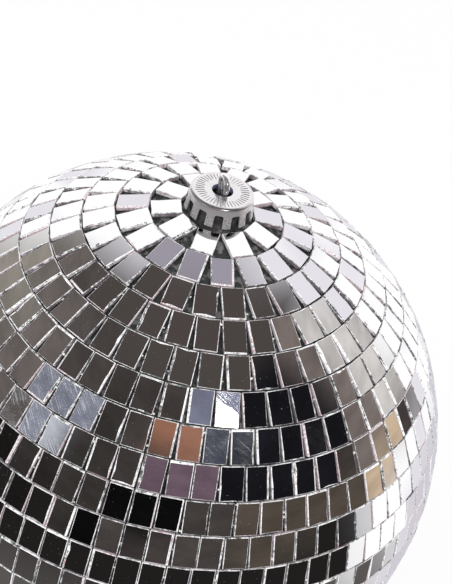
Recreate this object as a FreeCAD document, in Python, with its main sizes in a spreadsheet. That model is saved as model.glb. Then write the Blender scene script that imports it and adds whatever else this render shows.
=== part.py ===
import FreeCAD, Part
import math
import os
import random

import Sketcher
from FreeCAD import Placement, Rotation, Vector

# Mirror ball: a hollow plastic ball of two half shells, covered in rows of
# small glass mirrors, hung by a wire loop that turns in a necked plug under
# a crown-shaped cap.
#
# Frame: +Z up, the cap and its loop at the top. The origin is the point
# inside the loop that a hook bears on, so the ball hangs below it. Every
# piece is drawn round the ball's centre and placed lower by HANG_DROP.

DRIVING_SIZES = (
    ("core_diameter", 180.0, "outside of the plastic ball"),
    ("core_wall", 2.0, "wall of the half shells"),
    ("lap_height", 3.0, "lap joint between the half shells"),
    ("lap_clearance", 0.1, "play in the lap joint"),
    ("glue_bed", 0.2, "glue under each mirror"),
    ("tile_width", 6.9, "mirror, along its row"),
    ("tile_thickness", 1.6, "mirror glass"),
    ("tile_gap", 0.12, "least gap between neighbours in a row"),
    ("row_gap", 0.15, "gap between rows, at the back of the glass"),
    ("cap_margin", -0.29, "first row starts this far outside the tabs, or under them if below 0"),
    ("bottom_clear_radius", 6.6, "last row ends this far from the axis"),
    ("neck_radius", 9.2, "outside of the neck"),
    ("neck_wall", 2.0, "side wall of the neck"),
    ("neck_head", 1.5, "top wall of the neck, which carries the loop"),
    ("neck_lead", 1.0, "chamfer that the cap slides over"),
    ("neck_clearance", 0.1, "play between the neck and the shell's hole"),
    ("flange_radius", 13.0, "flange inside the shell"),
    ("flange_thickness", 1.6, "flange inside the shell"),
    ("cap_rise", 6.8, "top of the cap above the mirrors' faces"),
    ("cap_height", 6.6, "cap, from its top to the ends of its tabs"),
    ("cap_sheet", 0.4, "metal of the cap"),
    ("cap_clearance", 0.15, "play between the cap and the neck"),
    ("cap_flare", 0.8, "how far the tabs spread at their ends"),
    ("cap_shoulder", 1.3, "radius of the cap's rounded rim"),
    ("slot_width", 2.7, "slot between two tabs"),
    ("slot_height", 4.1, "slot between two tabs"),
    ("wire_diameter", 1.9, "wire of the loop"),
    ("eye_radius", 1.65, "inside of the loop's eye"),
    ("eye_rise", 2.0, "centre of the eye above the cap"),
    ("leg_offset", 1.6, "each leg of the loop from the axis"),
    ("leg_bend", 1.1, "bend from the eye to a leg"),
    ("foot_bend", 1.2, "bend from a leg to its foot"),
    ("foot_clearance", 1.6, "tip of each foot to the neck's bore"),
    ("loop_clearance", 0.3, "play between the loop and what it turns in"),
)

# Counts, and turns about the ball's axis in degrees.
ROWS = 26
CAP_TABS = 12
CAP_TURN = 5.0
LOOP_TURN = -66.0
# Each row is a strip whose first joint lies on nearly the same meridian.
# The strips round the neck are laid by eye and start where they start.
FIRST_SEAMS = (-23.0, 2.5, -2.5, 1.6)
USUAL_SEAM = -3.2
# Hand-laid unevenness: the most that a mirror leans on its glue and turns in
# its own plane, in degrees, and the least gap kept beside it, in millimetres.
LEAN = 2.2
TWIST = 1.5
EDGE_SPARE = 0.02
HAND_SEED = 18
# Two sizes or volumes this near count as the same.
MATCH = 1e-4
# The bent wire's volume may differ this much from section times length.
PIPE_MATCH = 0.01

# Lengths and heights worked out from the driving sizes, as expressions that
# both the document's objects and this file's own arithmetic use.
CORE_R = "(Sizes.core_diameter / 2)"
HOLLOW_R = f"({CORE_R} - Sizes.core_wall)"
LAP_R = f"({CORE_R} - Sizes.core_wall / 2)"
TILE_BACK = f"({CORE_R} + Sizes.glue_bed)"
TILE_FACE = f"({TILE_BACK} + Sizes.tile_thickness)"
CAP_TOP = f"({TILE_FACE} + Sizes.cap_rise)"
CAP_UNDER = f"({CAP_TOP} - Sizes.cap_sheet)"
CAP_FOOT = f"({CAP_TOP} - Sizes.cap_height)"
CAP_R = "(Sizes.neck_radius + Sizes.cap_clearance + Sizes.cap_sheet)"
TOP_CLEAR = f"({CAP_R} + Sizes.cap_flare + Sizes.cap_margin)"
# The square bottom mirror's corners stop two row gaps short of the last row.
BOTTOM_SIDE = "(sqrt(2) * (Sizes.bottom_clear_radius - 2 * Sizes.row_gap))"
NECK_BORE = "(Sizes.neck_radius - Sizes.neck_wall)"
FLANGE_TOP = f"(sqrt({HOLLOW_R} ^ 2 - Sizes.flange_radius ^ 2) - Sizes.neck_clearance)"
WIRE_R = "(Sizes.wire_diameter / 2)"
RING_R = f"(Sizes.eye_radius + {WIRE_R})"
EYE_HEIGHT = f"({CAP_TOP} + Sizes.eye_rise)"
# The bend from eye to leg touches the ring from outside, so its centre is
# one ring radius plus one bend radius from the eye's centre.
LEG_TOP = (f"({EYE_HEIGHT} - sqrt(({RING_R} + Sizes.leg_bend) ^ 2"
           " - (Sizes.leg_offset + Sizes.leg_bend) ^ 2))")
# The eye is widest at the cap's top, where it dips into the hole.
HOLE_R = (f"(sqrt(({RING_R} + {WIRE_R}) ^ 2 - Sizes.eye_rise ^ 2)"
          " + Sizes.loop_clearance)")
FOOT_HEIGHT = f"({CAP_UNDER} - Sizes.neck_head - Sizes.loop_clearance - {WIRE_R})"
FOOT_REACH = f"({NECK_BORE} - Sizes.foot_clearance)"
HANG_DROP = f"({EYE_HEIGHT} + Sizes.eye_radius)"

doc = FreeCAD.newDocument("MirrorBall")
sheet = doc.addObject("Spreadsheet::Sheet", "Sizes")
subparts = []


def fill_sheet():
    """Write the driving sizes, one row each: name, number, meaning."""
    for row, (alias, number, meaning) in enumerate(DRIVING_SIZES, start=1):
        sheet.set(f"A{row}", alias)
        sheet.set(f"B{row}", str(number))
        sheet.set(f"C{row}", meaning)
        sheet.setAlias(f"B{row}", alias)
    doc.recompute()


def value(expression):
    """Number that an expression over the sheet stands for."""
    return float(sheet.evalExpression(expression))


def bind(thing, **expressions):
    """Bind properties of an object to expressions."""
    for name, expression in expressions.items():
        thing.setExpression(name, expression)
    return thing


def finish(thing, label, turn=0.0):
    """Label a sub-part, turn it about the ball's axis and hang it in place."""
    thing.Label = label
    thing.Placement = Placement(Vector(0, 0, -value(HANG_DROP)), Rotation(Vector(0, 0, 1), turn))
    thing.setExpression("Placement.Base.z", f"-{HANG_DROP}")
    subparts.append(thing)
    return thing


def half_ball(name, radius, lowest, highest):
    """Solid half ball between two latitudes."""
    ball = doc.addObject("Part::Sphere", name)
    ball.Angle1 = lowest
    ball.Angle2 = highest
    return bind(ball, Radius=radius)


def cylinder(name, radius, height, bottom):
    """Cylinder about the ball's axis, from a given height up."""
    post = doc.addObject("Part::Cylinder", name)
    bind(post, Radius=radius, Height=height)
    post.setExpression("Placement.Base.z", bottom)
    return post


def boolean(kind, name, base, tool):
    """Part::Cut or Part::Fuse of two solids."""
    result = doc.addObject(kind, name)
    if kind == "Part::Cut":
        result.Base = base
        result.Tool = tool
    else:
        result.Shapes = [base, tool]
    return result


def make_core():
    """Two half shells that lap at the equator; the upper one takes the neck."""
    shells = []
    for side, lowest, highest in (("upper", 0, 90), ("lower", -90, 0)):
        outside = half_ball(f"{side}_outside", CORE_R, lowest, highest)
        inside = half_ball(f"{side}_inside", HOLLOW_R, lowest, highest)
        shells.append(boolean("Part::Cut", f"{side}_shell", outside, inside))
    upper, lower = shells
    tongue_out = cylinder("tongue_outside", f"{LAP_R} - Sizes.lap_clearance / 2",
                          "Sizes.lap_height", "-Sizes.lap_height")
    tongue_in = cylinder("tongue_inside", HOLLOW_R, "Sizes.lap_height", "-Sizes.lap_height")
    tongue = boolean("Part::Cut", "tongue", tongue_out, tongue_in)
    lapped = boolean("Part::MultiFuse", "upper_lapped", upper, tongue)
    hole = cylinder("neck_hole", "Sizes.neck_radius + Sizes.neck_clearance", CORE_R, "0")
    finish(boolean("Part::Cut", "core_upper", lapped, hole), "core_upper_half")
    rebate_depth = "Sizes.lap_height + Sizes.lap_clearance"
    rebate = cylinder("rebate", f"{LAP_R} + Sizes.lap_clearance / 2",
                      rebate_depth, f"-({rebate_depth})")
    finish(boolean("Part::Cut", "core_lower", lower, rebate), "core_lower_half")


def origin_plane(body, role):
    """One of a body's own origin planes or axes."""
    return next(item for item in body.Origin.OriginFeatures if item.Role == role)


def hold(sketch, kind, *places, name=None, expression=None):
    """Add one constraint; one that has a size is named and bound."""
    size = () if expression is None else (value(expression),)
    number = sketch.addConstraint(Sketcher.Constraint(kind, *places, *size))
    if name:
        sketch.renameConstraint(number, name)
        sketch.setExpression(f"Constraints.{name}", expression)


def outline(body, name, plane, corners, labels):
    """Closed sketch of straight lines; each corner's two places are bound.

    corners holds (across, up) expressions, and labels names each corner.
    """
    sketch = body.newObject("Sketcher::SketchObject", name)
    sketch.AttachmentSupport = [(origin_plane(body, plane), "")]
    sketch.MapMode = "FlatFace"
    points = [Vector(value(across), value(up), 0) for across, up in corners]
    count = len(points)
    for index, point in enumerate(points):
        sketch.addGeometry(Part.LineSegment(point, points[(index + 1) % count]), False)
    for index in range(count):
        sketch.addConstraint(Sketcher.Constraint("Coincident", index, 2, (index + 1) % count, 1))
    for index, ((across, up), label) in enumerate(zip(corners, labels)):
        hold(sketch, "DistanceX", -1, 1, index, 1, name=f"{label}_across", expression=across)
        hold(sketch, "DistanceY", -1, 1, index, 1, name=f"{label}_up", expression=up)
    return sketch


def revolve(body, sketch):
    """Turn a sketch once round the ball's axis."""
    turned = body.newObject("PartDesign::Revolution", f"{sketch.Name}_turned")
    turned.Profile = sketch
    turned.ReferenceAxis = (sketch, ["V_Axis"])
    turned.Angle = 360
    sketch.Visibility = False
    doc.recompute()
    return turned


def make_neck():
    """Necked plug: a flange glued inside the shell, a neck, a holed head."""
    body = doc.addObject("PartDesign::Body", "neck")
    corners = (
        (HOLE_R, CAP_UNDER),
        ("Sizes.neck_radius - Sizes.neck_lead", CAP_UNDER),
        ("Sizes.neck_radius", f"{CAP_UNDER} - Sizes.neck_lead"),
        ("Sizes.neck_radius", FLANGE_TOP),
        ("Sizes.flange_radius", FLANGE_TOP),
        ("Sizes.flange_radius", f"{FLANGE_TOP} - Sizes.flange_thickness"),
        (NECK_BORE, f"{FLANGE_TOP} - Sizes.flange_thickness"),
        (NECK_BORE, f"{CAP_UNDER} - Sizes.neck_head"),
        (HOLE_R, f"{CAP_UNDER} - Sizes.neck_head"),
    )
    labels = ("hole_top", "lead_in", "lead_out", "flange_root", "flange_rim",
              "flange_under", "bore_foot", "bore_head", "hole_under")
    revolve(body, outline(body, "neck_outline", "XZ_Plane", corners, labels))
    finish(body, "neck_plug")


def rim_edges(shape, radius, height):
    """Names of the circular edges with a given radius and height."""
    names = []
    for number, edge in enumerate(shape.Edges, start=1):
        circle = edge.Curve
        if not isinstance(circle, Part.Circle):
            continue
        if abs(circle.Radius - radius) < MATCH and abs(circle.Center.z - height) < MATCH:
            names.append(f"Edge{number}")
    return names


def round_rim(body, base, radius, height, fillet, name):
    """Fillet the circular rim of given radius and height by a bound radius."""
    rounded = body.newObject("PartDesign::Fillet", name)
    rounded.Base = (base, rim_edges(base.Shape, value(radius), value(height)))
    rounded.setExpression("Radius", fillet)
    doc.recompute()
    return rounded


def make_cap():
    """Pressed crown cap: holed disc, rounded rim, skirt slotted into tabs."""
    body = doc.addObject("PartDesign::Body", "cap")
    inner_r = f"{CAP_R} - Sizes.cap_sheet"
    corners = (
        (HOLE_R, CAP_TOP),
        (CAP_R, CAP_TOP),
        (f"{CAP_R} + Sizes.cap_flare", CAP_FOOT),
        (f"{inner_r} + Sizes.cap_flare", CAP_FOOT),
        (inner_r, CAP_UNDER),
        (HOLE_R, CAP_UNDER),
    )
    labels = ("hole_top", "rim", "skirt_out", "skirt_in", "rim_under", "hole_under")
    shell = revolve(body, outline(body, "cap_outline", "XZ_Plane", corners, labels))
    outer = round_rim(body, shell, CAP_R, CAP_TOP, "Sizes.cap_shoulder", "rim_outside")
    inner = round_rim(body, outer, inner_r, CAP_UNDER,
                      "Sizes.cap_shoulder - Sizes.cap_sheet", "rim_inside")
    half = "Sizes.slot_width / 2"
    slot_top = f"{CAP_FOOT} + Sizes.slot_height"
    slot_foot = f"{CAP_FOOT} - Sizes.cap_sheet"
    slot = outline(body, "slot_outline", "XZ_Plane",
                   ((f"-{half}", slot_foot), (half, slot_foot),
                    (half, slot_top), (f"-{half}", slot_top)),
                   ("foot_left", "foot_right", "top_right", "top_left"))
    cut = body.newObject("PartDesign::Pocket", "slot")
    cut.Profile = slot
    cut.setExpression("Length", f"{CAP_R} + 2 * Sizes.cap_flare + Sizes.cap_sheet")
    doc.recompute()
    if cut.Shape.Volume > inner.Shape.Volume - MATCH:
        cut.Reversed = True
        doc.recompute()
    ring = body.newObject("PartDesign::PolarPattern", "slots")
    ring.Originals = [cut]
    ring.Axis = (origin_plane(body, "Z_Axis"), [""])
    ring.Angle = 360
    ring.Occurrences = CAP_TABS
    body.Tip = ring
    slot.Visibility = False
    doc.recompute()
    cut_one = inner.Shape.Volume - cut.Shape.Volume
    cut_all = inner.Shape.Volume - ring.Shape.Volume
    if cut_one < MATCH or abs(cut_all - CAP_TABS * cut_one) > MATCH:
        raise RuntimeError("the cap's slots were not all cut")
    finish(body, "crown_cap", CAP_TURN)


def loop_path(body):
    """Centre line of the loop: a ring open below, two legs, two feet.

    Each side runs ring, leg bend, leg, foot bend, foot, all tangent.
    """
    sketch = body.newObject("Sketcher::SketchObject", "loop_path")
    sketch.AttachmentSupport = [(origin_plane(body, "XZ_Plane"), "")]
    sketch.MapMode = "FlatFace"
    ring_r, bend, offset = value(RING_R), value("Sizes.leg_bend"), value("Sizes.leg_offset")
    eye, leg_top, foot = value(EYE_HEIGHT), value(LEG_TOP), value(FOOT_HEIGHT)
    foot_bend, reach = value("Sizes.foot_bend"), value(FOOT_REACH)
    open_angle = math.atan2(leg_top - eye, offset + bend)
    normal = Vector(0, 0, 1)

    def arc(across, height, radius, start, end):
        """Add an arc of a circle between two angles."""
        circle = Part.Circle(Vector(across, height, 0), normal, radius)
        return sketch.addGeometry(Part.ArcOfCircle(circle, start, end), False)

    def line(start_across, start_height, end_across, end_height):
        """Add a straight run."""
        start, end = Vector(start_across, start_height, 0), Vector(end_across, end_height, 0)
        return sketch.addGeometry(Part.LineSegment(start, end), False)

    ring = arc(0, eye, ring_r, open_angle, math.pi - open_angle)
    hold(sketch, "PointOnObject", ring, 3, -2)
    hold(sketch, "DistanceY", -1, 1, ring, 3, name="eye_height", expression=EYE_HEIGHT)
    hold(sketch, "Radius", ring, name="ring_radius", expression=RING_R)
    for name, side, sign in (("right", 1, ""), ("left", -1, "-")):
        # Arcs run anticlockwise, so the right side's start where the left's end.
        near, far = (1, 2) if side > 0 else (2, 1)
        bend_arc = (math.pi + open_angle, math.pi) if side > 0 else (0, -open_angle)
        foot_arc = math.pi if side > 0 else 1.5 * math.pi
        shoulder = arc(side * (offset + bend), leg_top, bend, *bend_arc)
        leg = line(side * offset, leg_top, side * offset, foot + foot_bend)
        elbow = arc(side * (offset + foot_bend), foot + foot_bend, foot_bend,
                    foot_arc, foot_arc + math.pi / 2)
        toe = line(side * (offset + foot_bend), foot, side * reach, foot)
        hold(sketch, "Tangent", ring, near, shoulder, near)
        hold(sketch, "Tangent", shoulder, far, leg, 1)
        hold(sketch, "Tangent", leg, 2, elbow, near)
        hold(sketch, "Tangent", elbow, far, toe, 1)
        hold(sketch, "Vertical", leg)
        hold(sketch, "Horizontal", toe)
        hold(sketch, "Radius", shoulder, name=f"{name}_leg_bend", expression="Sizes.leg_bend")
        hold(sketch, "Radius", elbow, name=f"{name}_foot_bend", expression="Sizes.foot_bend")
        hold(sketch, "DistanceX", -1, 1, leg, 1, name=f"{name}_leg",
             expression=f"{sign}Sizes.leg_offset")
        hold(sketch, "DistanceY", -1, 1, toe, 2, name=f"{name}_foot", expression=FOOT_HEIGHT)
        hold(sketch, "DistanceX", -1, 1, toe, 2, name=f"{name}_reach",
             expression=f"{sign}{FOOT_REACH}")
    return sketch


def make_loop():
    """Wire loop: an eye above the cap, legs through it, feet under the head."""
    body = doc.addObject("PartDesign::Body", "loop")
    path = loop_path(body)
    wire = body.newObject("Sketcher::SketchObject", "wire_section")
    wire.AttachmentSupport = [(origin_plane(body, "YZ_Plane"), "")]
    wire.MapMode = "FlatFace"
    wire.setExpression("AttachmentOffset.Base.z", FOOT_REACH)
    wire.addGeometry(Part.Circle(Vector(0, value(FOOT_HEIGHT), 0), Vector(0, 0, 1),
                                 value(WIRE_R)), False)
    hold(wire, "PointOnObject", 0, 3, -2)
    hold(wire, "DistanceY", -1, 1, 0, 3, name="foot_height", expression=FOOT_HEIGHT)
    hold(wire, "Radius", 0, name="wire_radius", expression=WIRE_R)
    doc.recompute()
    pipe = body.newObject("PartDesign::AdditivePipe", "bent_wire")
    pipe.Profile = wire
    pipe.Spine = path
    doc.recompute()
    wire_volume = math.pi * value(WIRE_R) ** 2 * path.Shape.Length
    if abs(pipe.Shape.Volume / wire_volume - 1) > PIPE_MATCH:
        raise RuntimeError("the loop's wire does not follow its path")
    finish(body, "hanger_loop", LOOP_TURN)


def row_edges():
    """Polar angles of the lines between rows, from the neck to the bottom."""
    back = value(TILE_BACK)
    first = math.asin(value(TOP_CLEAR) / back)
    last = math.pi - math.asin(value("Sizes.bottom_clear_radius") / back)
    return [first + (last - first) * row / ROWS for row in range(ROWS + 1)]


def ring_room(angle, pitch):
    """How many mirrors of one pitch fit round the axis at a polar angle."""
    return math.pi / math.atan(pitch / 2 / (value(TILE_BACK) * math.sin(angle)))


def row_plan(number, edges):
    """Count of mirrors in a row and the polar angles that bound them.

    A row narrows towards its nearer pole, so the mirrors' ends on that side
    set the count. The two rows beside a pole take the nearest whole number
    and are cut shorter where that needs more room. At the wide end the
    corners of a straight-edged mirror bulge past the row's circle, so the
    row ends that much sooner.
    """
    start, end = edges[number], edges[number + 1]
    upper_half = start + end < math.pi
    narrow, wide = (start, end) if upper_half else (end, start)
    pitch = value("Sizes.tile_width + Sizes.tile_gap")
    room = ring_room(narrow, pitch)
    if number in (0, ROWS - 1):
        count = round(room)
        needed = math.asin(pitch / 2 / math.tan(math.pi / count) / value(TILE_BACK))
        if upper_half:
            start = max(start, needed)
        else:
            end = min(end, math.pi - needed)
    else:
        count = math.floor(room)
    back = value(TILE_BACK)
    wide_r = back * math.sin(wide)
    bulge = (math.hypot(wide_r, value("Sizes.tile_width / 2")) - wide_r) / back
    if upper_half:
        end -= bulge
    else:
        start += bulge
    return count, start, end, upper_half


def place_tile(glass, polar, longitude, leans, twist, hinge):
    """Lay one mirror on the ball; angles are in degrees.

    glass is a box centred on the Z axis with its back at z = 0. Its plane
    stays one tile-back radius from the centre however it leans, so it never
    cuts the core. The twist turns it about the middle of its narrow end,
    which is hinge away from its centre.
    """
    along, across, out = Vector(1, 0, 0), Vector(0, 1, 0), Vector(0, 0, 1)
    stand = Rotation(out, longitude).multiply(Rotation(across, polar))
    lean = Rotation(along, leans[0]).multiply(Rotation(across, leans[1]))
    lying = stand.multiply(lean)
    outward = stand.multVec(out)
    seat = outward * (value(TILE_BACK) / lying.multVec(out).dot(outward))
    twisted = Placement(Vector(), Rotation(out, twist), along * hinge)
    laid = glass.copy()
    laid.Placement = Placement(seat, lying).multiply(twisted)
    return laid


def make_tile_rows():
    """Rows of separate glass mirrors, laid by hand a little unevenly."""
    edges = row_edges()
    back = value(TILE_BACK)
    width, thick = value("Sizes.tile_width"), value("Sizes.tile_thickness")
    gap = value("Sizes.row_gap")
    hand = random.Random(HAND_SEED)
    for number in range(ROWS):
        count, start, end, upper_half = row_plan(number, edges)
        height = 2 * back * math.tan((end - start) / 2) - gap
        middle = (start + end) / 2
        glass = Part.makeBox(height, width, thick, Vector(-height / 2, -width / 2, 0))
        hinge = -height / 2 if upper_half else height / 2
        step = 2 * math.pi / count
        narrow_r, wide_r = sorted(back * math.sin(angle) for angle in (start, end))
        narrow_spare = narrow_r * math.tan(step / 2) - width / 2 - EDGE_SPARE
        wide_spare = wide_r * math.tan(step / 2) - width / 2 - EDGE_SPARE
        twist = min(TWIST, math.degrees(max(wide_spare, 0) / height))
        drift = math.degrees(max(narrow_spare, 0) / narrow_r) / 2
        seam = FIRST_SEAMS[number] if number < len(FIRST_SEAMS) else USUAL_SEAM
        tiles = []
        for index in range(count):
            longitude = seam - 90 + math.degrees(step) * (index + 0.5) + hand.uniform(-drift, drift)
            leans = (hand.triangular(-LEAN, LEAN, 0), hand.triangular(-LEAN, LEAN, 0))
            turn = hand.uniform(-twist, twist)
            tiles.append(place_tile(glass, math.degrees(middle), longitude, leans, turn, hinge))
        row = doc.addObject("Part::Feature", f"row_{number + 1:02d}")
        row.Shape = Part.makeCompound(tiles)
        finish(row, f"tile_row_{number + 1:02d}")


def make_bottom_tile():
    """Square mirror glued over the bottom pole."""
    tile = doc.addObject("Part::Box", "bottom")
    bind(tile, Length=BOTTOM_SIDE, Width=BOTTOM_SIDE, Height="Sizes.tile_thickness")
    finish(tile, "bottom_tile")
    tile.setExpression("Placement.Base.x", f"-{BOTTOM_SIDE} / 2")
    tile.setExpression("Placement.Base.y", f"-{BOTTOM_SIDE} / 2")
    tile.setExpression("Placement.Base.z", f"-{TILE_FACE} - {HANG_DROP}")


def check_and_write():
    """Stop on any failed object, then write each sub-part."""
    doc.recompute()
    for thing in doc.Objects:
        if "Invalid" in thing.State or "Error" in thing.State:
            raise RuntimeError(f"{thing.Name}: {thing.State}")
    for thing in subparts:
        if thing.Shape.isNull() or not thing.Shape.isValid():
            raise RuntimeError(f"{thing.Label} has no valid shape")
    os.makedirs("parts", exist_ok=True)
    for thing in subparts:
        thing.Shape.exportStep(f"parts/{thing.Label}.step")
        print(thing.Label, len(thing.Shape.Solids), round(thing.Shape.Volume, 2))


fill_sheet()
make_core()
make_neck()
make_cap()
make_loop()
make_tile_rows()
make_bottom_tile()
check_and_write()
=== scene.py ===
"""Looks of a mirror ball: cut glass mirrors, pressed cap, hanging loop and the studio they stand in.

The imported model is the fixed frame. Every new piece is worked out from its boxes and bodies.
"""

import bmesh
import bpy
import numpy as np
from mathutils import Matrix, Vector


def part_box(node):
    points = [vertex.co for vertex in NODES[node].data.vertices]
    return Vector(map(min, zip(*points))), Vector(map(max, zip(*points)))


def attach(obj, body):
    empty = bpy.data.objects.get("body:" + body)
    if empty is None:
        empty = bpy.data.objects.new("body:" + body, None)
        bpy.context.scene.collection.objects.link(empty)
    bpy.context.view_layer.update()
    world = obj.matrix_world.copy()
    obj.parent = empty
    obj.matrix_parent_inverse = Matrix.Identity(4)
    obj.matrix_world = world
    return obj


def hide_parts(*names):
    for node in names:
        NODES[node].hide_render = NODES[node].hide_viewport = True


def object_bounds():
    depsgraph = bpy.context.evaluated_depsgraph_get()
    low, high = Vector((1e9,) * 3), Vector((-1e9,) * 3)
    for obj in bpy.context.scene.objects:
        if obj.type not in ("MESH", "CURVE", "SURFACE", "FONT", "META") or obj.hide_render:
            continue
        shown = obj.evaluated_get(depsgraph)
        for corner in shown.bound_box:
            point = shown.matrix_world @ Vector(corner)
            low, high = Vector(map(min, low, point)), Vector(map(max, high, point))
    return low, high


bl_info = {
    "name": "Mirror Ball",
    "version": (1, 0, 0),
    "blender": (4, 5, 0),
    "location": "View3D > Sidebar > Mirror Ball",
    "description": "Cut mirrors, pressed cap, hanging loop and studio for a mirror ball",
    "category": "Object",
}

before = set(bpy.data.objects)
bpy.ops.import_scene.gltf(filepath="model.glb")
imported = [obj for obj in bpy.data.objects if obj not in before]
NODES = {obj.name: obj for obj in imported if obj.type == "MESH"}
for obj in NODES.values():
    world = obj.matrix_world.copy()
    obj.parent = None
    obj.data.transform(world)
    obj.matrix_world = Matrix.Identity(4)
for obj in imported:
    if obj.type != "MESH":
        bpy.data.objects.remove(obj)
CAD_BOX = [list(corner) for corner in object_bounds()]
ROW_NAMES = sorted(name for name in NODES if name.startswith("tile_row_"))
MM = 0.001


def ball_centre():
    """Middle of the two half shells, which is the middle of the ball."""
    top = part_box("core_upper_half")[1]
    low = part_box("core_lower_half")[0]
    return np.array([0.0, 0.0, (top.z + low.z) / 2])


CENTRE = ball_centre()


# ---- node trees

class Wire:
    """One value in a node tree. Arithmetic on it adds Math nodes."""

    def __init__(self, tree, socket):
        self.tree, self.socket = tree, socket

    def maths(self, operation, *others, reflected=False):
        """One Math node on this value and others; reflected puts this value last."""
        terms = (*others, self) if reflected else (self, *others)
        return add_node(self.tree, "Math", {"operation": operation}, dict(enumerate(terms)))

    def __add__(self, other):
        return self.maths("ADD", other)

    __radd__ = __add__

    def __sub__(self, other):
        return self.maths("SUBTRACT", other)

    def __rsub__(self, other):
        return self.maths("SUBTRACT", other, reflected=True)

    def __mul__(self, other):
        return self.maths("MULTIPLY", other)

    __rmul__ = __mul__

    def __pow__(self, other):
        return self.maths("POWER", other)

    def __abs__(self):
        return self.maths("ABSOLUTE")

    def ramp(self, low, high, start=0.0, end=1.0):
        """Smooth step from start at low to end at high."""
        values = {"Value": self, "From Min": low, "From Max": high, "To Min": start, "To Max": end}
        return add_node(self.tree, "MapRange", {"interpolation_type": "SMOOTHSTEP"}, values)


def add_node(tree, kind, settings=None, values=None, output=0):
    """Add a shader node of a kind: settings first, then its sockets' numbers or links."""
    made = tree.nodes.new("ShaderNode" + kind)
    for name, setting in (settings or {}).items():
        setattr(made, name, setting)
    for name, given in (values or {}).items():
        if isinstance(given, Wire):
            tree.links.new(given.socket, made.inputs[name])
        else:
            made.inputs[name].default_value = given
    return Wire(tree, made.outputs[output]) if made.outputs else None


def mix_colour(tree, factor, first, second):
    """Colour that goes from first to second as factor goes from 0 to 1."""
    values = {0: factor, 6: first, 7: second}
    return add_node(tree, "Mix", {"data_type": "RGBA"}, values, 2)


def linear(colour):
    """Scene-linear RGBA of a screen colour given as three numbers from 0 to 255."""
    share = np.array(colour[:3], float) / 255
    light = np.where(share <= 0.04045, share / 12.92, ((share + 0.055) / 1.055) ** 2.4)
    return (*light.tolist(), 1.0)


def paint_over(tree, base, *layers):
    """Base colour with screen colours over it in turn, each as its mask says."""
    for mask, paint in layers:
        base = mix_colour(tree, mask, base, linear(paint))
    return base


def noise(tree, place, scale, detail=2.0, roughness=0.5):
    """Noise value at a place."""
    values = {"Vector": place, "Scale": scale, "Detail": detail, "Roughness": roughness}
    return add_node(tree, "TexNoise", None, values)


def stretch(tree, place, scale, turn=(0, 0, 0), shift=(0, 0, 0)):
    """The place shifted, turned back and then scaled by a Mapping node."""
    values = {"Vector": place, "Scale": [1 / part for part in scale], "Rotation": turn,
              "Location": shift}
    return add_node(tree, "Mapping", {"vector_type": "TEXTURE"}, values)


def bump(tree, height, distance, strength):
    """Normal that a height map gives; distance is in metres."""
    return add_node(tree, "Bump", None,
                    {"Height": height, "Distance": distance, "Strength": strength})


def object_place(tree):
    """Object coordinates."""
    return add_node(tree, "TexCoord", None, None, 3)


def cut_place(tree):
    """The piece's own UV map, in centimetres along the glass."""
    return add_node(tree, "UVMap", {"uv_map": "glass"})


def mark(tree, name):
    """Number that a mesh attribute gives at each face or point."""
    return add_node(tree, "Attribute", {"attribute_name": name}, None, 2)


def axis_of(tree, place, number):
    """X, Y or Z of a place, by number 0, 1 or 2."""
    return add_node(tree, "SeparateXYZ", None, {0: place}, number)


def new_material(name):
    """Empty node material and its tree."""
    material = bpy.data.materials.new(name)
    material.use_nodes = True
    material.node_tree.nodes.clear()
    return material, material.node_tree


def close_material(tree, values):
    """Principled shader with these socket values, joined to the output."""
    shader = add_node(tree, "BsdfPrincipled", None, values)
    add_node(tree, "OutputMaterial", None, {"Surface": shader})


# ---- settings

def colour_setting(name, about, default):
    """Colour property given as a screen colour."""
    return bpy.props.FloatVectorProperty(name=name, description=about, subtype="COLOR", size=3,
                                         min=0, max=1, default=linear(default)[:3])


def length_setting(name, about, millimetres):
    """Length property, given in millimetres and kept in metres."""
    return bpy.props.FloatProperty(name=name, description=about, default=millimetres * MM,
                                   min=0, precision=5, subtype="DISTANCE", unit="LENGTH")


def share_setting(name, about, default):
    """Share from 0 to 1."""
    return bpy.props.FloatProperty(name=name, description=about, default=default, min=0, max=1,
                                   subtype="FACTOR")


def power_setting(name, about, watts):
    """Power of a lamp."""
    return bpy.props.FloatProperty(name=name, description=about, default=watts, min=0,
                                   subtype="POWER", unit="POWER")


class MirrorSettings(bpy.types.PropertyGroup):
    """Sizes and colours of the cut mirrors."""

    side_edge: length_setting("Side edge", "Broken edge along a mirror's long sides", 0.15)
    pole_edge: length_setting("Upper edge", "Broken edge on the side nearer the cap", 0.13)
    foot_edge: length_setting("Lower edge", "Broken edge on the side away from the cap", 0.08)
    wide_edge: length_setting("Wide edge", "Widest slanting break", 0.55)
    wide_share: share_setting("Wide edges", "Share of edges that broke at a slant", 0.24)
    chip_share: share_setting("Chips", "Share of edge points with a chip", 0.09)
    silver: colour_setting("Silver", "Colour of the silvered face", (247, 247, 248))
    # The broken edge is painted between these two colours by its brightness, which holds painted glints
    # and painted rim highlights as well as the glass's grain.
    edge: colour_setting("Cut edge", "Colour of the broken glass edge", (254, 254, 254))
    edge_dark: colour_setting("Cut edge, deep", "Colour deep in the glass edge", (92, 97, 96))


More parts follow.
